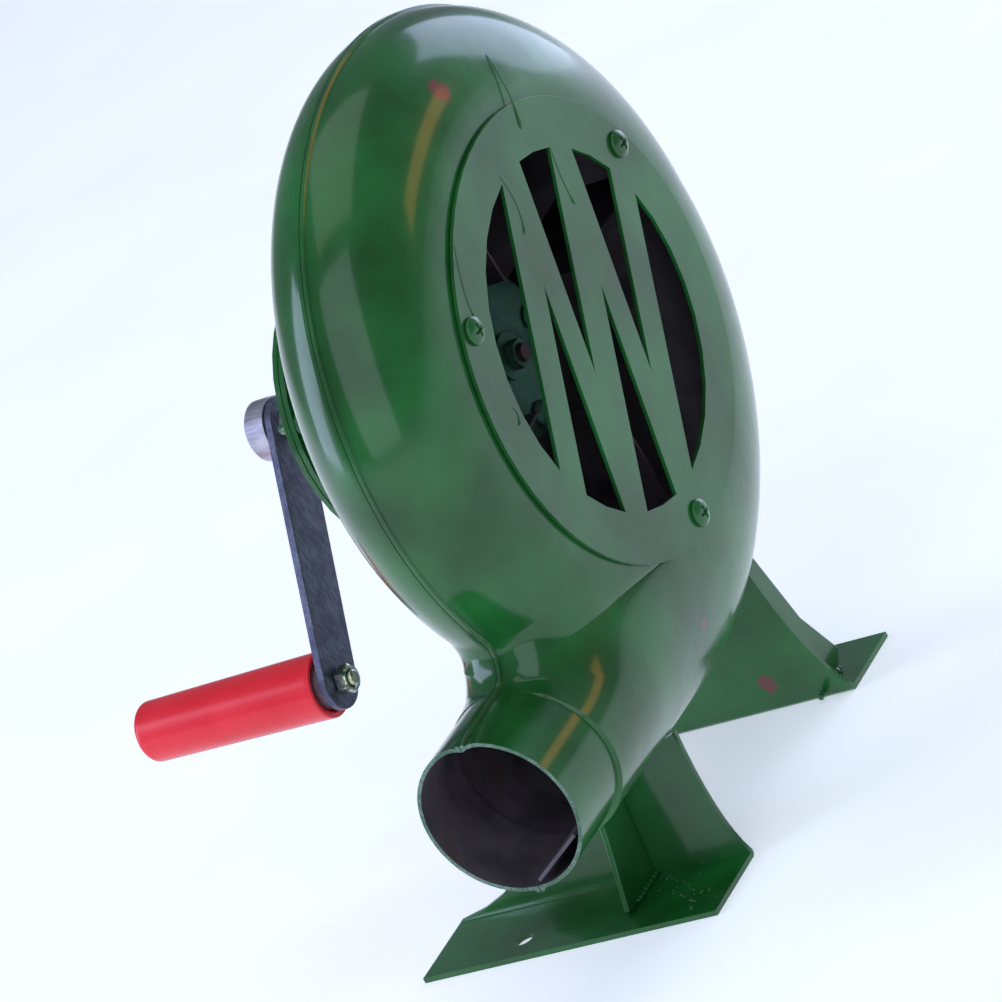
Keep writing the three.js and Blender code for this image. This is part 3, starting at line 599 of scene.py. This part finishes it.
# ---- Sheet-metal pieces with their edges rounded ---------------------------
for node, width in (("inlet_cover", 0.3), ("left_leg", 0.35), ("right_leg", 0.35),
                    ("left_gusset", 0.3), ("right_gusset", 0.3), ("gear_case", 0.3),
                    ("gear_case_cover", 0.3)):
    softened(node, enamel, width)
softened("outlet_seam_strap", inside, 0.15)
softened("fan_disc", dusted)
for number in range(1, 5):
    softened(f"fan_blade_{number}", blade_steel, 0.15)
softened("crank_arm", bar, 0.35)


# ---- Fastenings and turned pieces ------------------------------------------
def centre_of(node):
    """Where a turned node's axis crosses X and Z."""
    low, high = span(node)
    return (low[0] + high[0]) / 2, (low[2] + high[2]) / 2


def pan_screw(node, finish):
    """A domed head on a plain shank. The crown falls back by its drop x
    (radius / head radius)^2.6. A cross recess is pressed in along two arms,
    level in the middle of each arm and sloping up at its sides and end."""
    low, high = span(node)
    head = (high[0] - low[0]) / 2
    front, tip = low[1], high[1]
    drop, rim, seat = 1.3, front + 1.6, front + 2.1
    shank, point, point_radius = 1.8, 0.4, 1.4
    arm_half, arm_slope = 0.62, 0.2
    arm_end, end_slope, pressed = 2.3, 0.5, 0.95
    crown = [(r, front + drop * (r / head) ** 2.6) for r in np.linspace(0, head * 0.97, 26)]
    profile = crown + [(head, rim), (head, seat), (shank, seat), (shank, tip - point),
                       (point_radius, tip), (0, tip)]

    def recess(radius, turn, along):
        arm = np.minimum(np.abs(radius * np.sin(turn)), np.abs(radius * np.cos(turn)))
        depth = (np.clip((arm_half - arm) / arm_slope, 0, 1)
                 * np.clip((arm_end - radius) / end_slope, 0, 1))
        on_crown = along < front + 1.29
        return np.where(on_crown, pressed * depth, 0)

    shape = carried_round(profile, 120, centre_of(node), rise_at=recess)
    piece(node + "_head", [(shape, True, 0)], frame["nodes"][node]["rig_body"],
          [finish], node, sharp=50)


def hex_nut(node, across, bore, turn, finish):
    """A hexagon carried round its bore. Its radius is half the width across
    the flats / cos(30 degrees - the angle from the nearest corner), cut down
    by a cone at both faces. "turn" is one corner's angle in degrees."""
    low, high = span(node)
    front, rear = low[1], high[1]
    corner = across / 2 / math.cos(math.radians(30))
    face, cone, chamfer = across / 2 * 0.95, 0.5, 0.3
    profile = [(bore, front + chamfer), (bore + chamfer, front), (face, front),
               (corner, front + cone), (corner, rear - cone), (face, rear),
               (bore + chamfer, rear), (bore, rear - chamfer)]

    def hexagon(radius, angle, along):
        off = (angle - math.radians(turn) + np.pi / 6) % (np.pi / 3) - np.pi / 6
        return np.minimum(radius, across / 2 / np.cos(np.pi / 6 - np.abs(off)))

    shape = carried_round(profile, 96, centre_of(node), radius_at=hexagon)
    piece(node + "_hexagon", [(shape, True, 0)], frame["nodes"][node]["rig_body"],
          [finish], node, sharp=25)


for number in range(1, 4):
    pan_screw(f"cover_screw_{number}", enamel)
for number in range(1, 5):
    pan_screw(f"case_screw_{number}", enamel)
hex_nut("grip_nut", across=8.0, bore=2.8, turn=10, finish=zinc)


def grip_barrel():
    """The moulded grip: a slow taper from the arm to a rounded tail, with a
    deep open well round the spacer and a bored middle."""
    low, high = span("grip")
    front, rear = low[1], high[1]
    big = (high[0] - low[0]) / 2
    taper, rim, rounding = 0.8, 0.7, 2.4
    small = big - taper
    straight = rear - front - 3.2
    bore, well, tail_well = 2.8, big - 1.8, 5.2
    depth = span("grip_spacer")[1][1] + 0.3
    tail = span("grip_bolt")[1][1] - 3.8
    profile = ([(bore, depth), (well, depth), (well, front + 0.4)]
               + arc((big - rim, front + rim), rim, 200, 360, 7)
               + [(big - taper * t, front + rim + straight * t)
                  for t in np.linspace(0.02, 1, 12)]
               + arc((small - rounding, rear - rounding), rounding, 5, 90, 8)
               + [(tail_well, rear), (tail_well, tail), (bore, tail)])
    shape = carried_round(profile, 128, centre_of("grip"))
    piece("grip_barrel", [(shape, True, 0)], "grip", [red], "grip", sharp=40)


grip_barrel()

# ---- Weld beads, paint runs and spatter --------------------------------------
def bead(name, start, pull, end, size_at):
    """A tube along the parabola from start to end, drawn towards "pull". Its
    radius at each share of the way is size_at(share), and it closes at both
    ends as the square root of 1 - (distance from the middle)^14."""
    start, pull, end = [np.array(place, float) for place in (start, pull, end)]
    share = np.linspace(0, 1, 60)
    t = share[:, None]
    middle = (1 - t) ** 2 * start + 2 * (1 - t) * t * pull + t ** 2 * end
    from_middle = 2 * share - 1
    size = size_at(share) * np.sqrt(np.clip(1 - from_middle ** 14, 0, 1))
    along = (end - start) / np.linalg.norm(end - start)
    side = np.cross(along, [0, 1, 0.2])
    side /= np.linalg.norm(side)
    up = np.cross(along, side)
    turn = np.linspace(0, 2 * np.pi, 16, endpoint=False)
    spokes = np.cos(turn)[:, None] * side + np.sin(turn)[:, None] * up
    shape = middle[:, None] + size[:, None, None] * spokes
    piece(name, [(shape, True, 0)], "frame", [enamel], sharp=60)


def weld_bead(name, start, end, radius=1.1):
    """A bead laid along a line, whose radius swells and falls as a sine wave
    in small overlapping puddles."""
    pitch, swell = 2.1, 0.16
    start, end = np.array(start, float), np.array(end, float)
    length = np.linalg.norm(end - start)
    bead(name, start, (start + end) / 2, end,
         lambda share: radius * (1 + swell * np.sin(share * length / pitch * 2 * np.pi)))


def paint_run(name, start, pull, end, radius=0.34):
    """A sag of enamel that set as it ran down: its radius grows evenly with
    the way, and a bell curve swells it to a drop at its foot."""
    thin, growth = 0.55, 0.4
    drop, drop_at, drop_width = 0.8, 0.93, 0.06

    def sagging(share):
        bell = np.exp(-(((share - drop_at) / drop_width) ** 2))
        return radius * (thin + growth * share + drop * bell)

    bead(name, start, pull, end, sagging)


def spatter(name, start, end, count, spread, height):
    """Weld spatter under the paint: small balls thrown to both sides of a
    line. Each is a sphere of 8 x 7 points, squashed in Z."""
    squash = 0.7
    rng = np.random.default_rng(11)
    share = rng.uniform(0, 1, count)[:, None]
    places = np.array(start) + (np.array(end) - np.array(start)) * share
    places = places + rng.normal(0, spread, (count, 2))
    sizes = rng.uniform(0.25, 0.75, count)
    turn, rise = np.meshgrid(np.linspace(0, 2 * np.pi, 8, endpoint=False),
                             np.linspace(0, np.pi, 7))
    ball = np.stack([np.sin(rise) * np.cos(turn), np.sin(rise) * np.sin(turn),
                     squash * np.cos(rise)], axis=-1)
    grids = [(np.array([x, y, height]) + ball * size, True, 0)
             for (x, y), size in zip(places, sizes)]
    piece(name, grids, "frame", [enamel], sharp=180)


BEAD_RISE = 0.7  # the bead's middle over the foot of the gusset
BEAD_OUT = 0.2  # and in front of it
BEAD_START = 1.5
BEAD_SHARE = 0.8  # of the gusset's foot

for node, hand in (("left_gusset", -1), ("right_gusset", 1)):
    low, high = span(node)
    near = low[0] if hand > 0 else high[0]
    far = high[0] if hand > 0 else low[0]
    base = low[2] + BEAD_RISE
    weld_bead(node + "_foot_weld", (near + hand * BEAD_START, low[1] - BEAD_OUT, base),
              (near + (far - near) * BEAD_SHARE, low[1] - BEAD_OUT, base))
foot_top = span("left_gusset")[0][2] - GAP
spatter("left_foot_spatter", (-68, 18), (-47, 42), count=46, spread=2.6, height=foot_top + 0.1)
PAINT_RUNS = [  # start, pull and end of each
    ((23.9, 4.6, 82.2), (18.0, -1.2, 71.0), (14.6, 0.0, 60.0)),
    ((-7.2, 0.0, 56.5), (-4.0, 0.0, 46.0), (-10.0, 0.0, 38.1)),
    ((23.3, 0.0, 49.4), (20.0, 0.0, 40.0), (20.6, 0.0, 31.0)),
    ((-43.4, 0.0, 54.2), (-53.0, 0.0, 41.0), (-52.0, 0.0, 33.0)),
    ((-57.7, 0.0, 8.0), (-55.0, 0.0, 5.0), (-58.5, 0.0, 2.0)),
]
for number, places in enumerate(PAINT_RUNS, 1):
    paint_run(f"paint_run_{number}", *places)

# ---- Machined pieces, with their edges broken --------------------------------
def numbered(name):
    """The names of the four pieces of a set."""
    return [f"{name}_{number}" for number in range(1, 5)]


EDGE_BREAK = 0.12

for slot_name, finish, nodes in (
        ("bare_dark_steel", dusted, ["fan_nut", "fan_washer"]),
        ("bare_dark_steel", blade_steel, numbered("case_bolt")),
        ("zinc_plate", dusted, numbered("blade_bolt") + numbered("blade_nut")),
        ("zinc_plate", zinc, ["grip_bolt"] + numbered("case_nut")),
        ("sintered_bronze", bronze, ["fan_bushing", "crank_bushing"]),
        ("turned_steel", blade_steel, ["fan_shaft"]),
        ("turned_steel", turned, ["idler_pin", "fan_pinion", "idler_pinion", "crank_shaft",
                                  "crank_hub", "grip_spacer"]),
        ("bare_bar_steel", gear_steel, ["idler_gear", "crank_gear"])):
    for node in nodes:
        softened(node, finish, EDGE_BREAK, segments=1)

# ---- Floor, light and camera, in metres ----------------------------------------
FLOOR_HALF = 9.0
corners = [(x * FLOOR_HALF, y * FLOOR_HALF, 0) for x, y in ((-1, -1), (1, -1), (1, 1), (-1, 1))]
floor_mesh = bpy.data.meshes.new("paper_sweep")
floor_mesh.from_pydata(corners, [], [(0, 1, 2, 3)])
floor_mesh.materials.append(pale_floor("matt_white_paper"))
floor = bpy.data.objects.new("paper_sweep", floor_mesh)
bpy.context.scene.collection.objects.link(floor)
floor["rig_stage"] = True


def softbox(name, place, aim, size, power, colour, only=()):
    """A large soft light at a place, turned to face the aim. With "only", it
    lights those pieces alone."""
    light = bpy.data.lights.new(name, "AREA")
    light.shape = "RECTANGLE"
    light.size, light.size_y = size
    light.energy = power
    light.color = shade(colour)[:3]
    lamp = bpy.data.objects.new(name, light)
    lamp.location = place
    lamp.rotation_euler = (Vector(aim) - Vector(place)).to_track_quat("-Z", "Y").to_euler()
    bpy.context.scene.collection.objects.link(lamp)
    if only:
        lit = bpy.data.collections.new(name + "_lights")
        for made in only:
            lit.objects.link(made)
        lamp.light_linking.receiver_collection = lit


middle = (cad_low + cad_high) / 2
softbox("left_fill", (-1.9, -0.8, 1.3), middle, (2.2, 2.6), 25, "#e9f2ff")
softbox("left_rear_rim", (-0.9, 1.7, 0.7), middle, (0.9, 1.6), 22, "#cfdcff")
softbox("right_rim", (1.9, -0.4, 0.5), middle, (1.1, 1.5), 16, "#cfdcff")
softbox("overhead", (0.1, -0.2, 2.2), middle, (1.8, 1.8), 9, "#ffffff")
softbox("warm_bounce", (0.87, -1.18, 0.5), middle, (0.7, 0.2), 2.0, "#b9803f", volute)

WORLD_STRENGTH = 0.3
world = bpy.data.worlds.new("studio_white")
bpy.context.scene.world = world
world.use_nodes = True
background = world.node_tree.nodes["Background"]
background.inputs["Color"].default_value = shade("#d5e4f4")
background.inputs["Strength"].default_value = WORLD_STRENGTH

AZIMUTH, ELEVATION, ROLL = math.radians(-54.54), math.radians(19.125), math.radians(29.19)
DISTANCE = 1.69
TARGET = Vector(PLACE) + Vector((-0.028, 0.040, -0.0315))
LENS_MM, SENSOR_MM = 208.8, 36.0
back = Vector((math.sin(AZIMUTH) * math.cos(ELEVATION), -math.cos(AZIMUTH) * math.cos(ELEVATION),
               math.sin(ELEVATION)))
across = Vector((0, 0, 1)).cross(back).normalized()
upright = back.cross(across)
right = across * math.cos(ROLL) - upright * math.sin(ROLL)
facing = Matrix((right, back.cross(right), back)).transposed()
camera_data = bpy.data.cameras.new("camera")
camera_data.lens = LENS_MM
camera_data.sensor_width = SENSOR_MM
camera = bpy.data.objects.new("camera", camera_data)
camera.matrix_world = Matrix.Translation(TARGET + back * DISTANCE) @ facing.to_4x4()
bpy.context.scene.collection.objects.link(camera)
bpy.context.scene.camera = camera
bpy.context.scene.view_settings.view_transform = "Standard"

low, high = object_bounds()
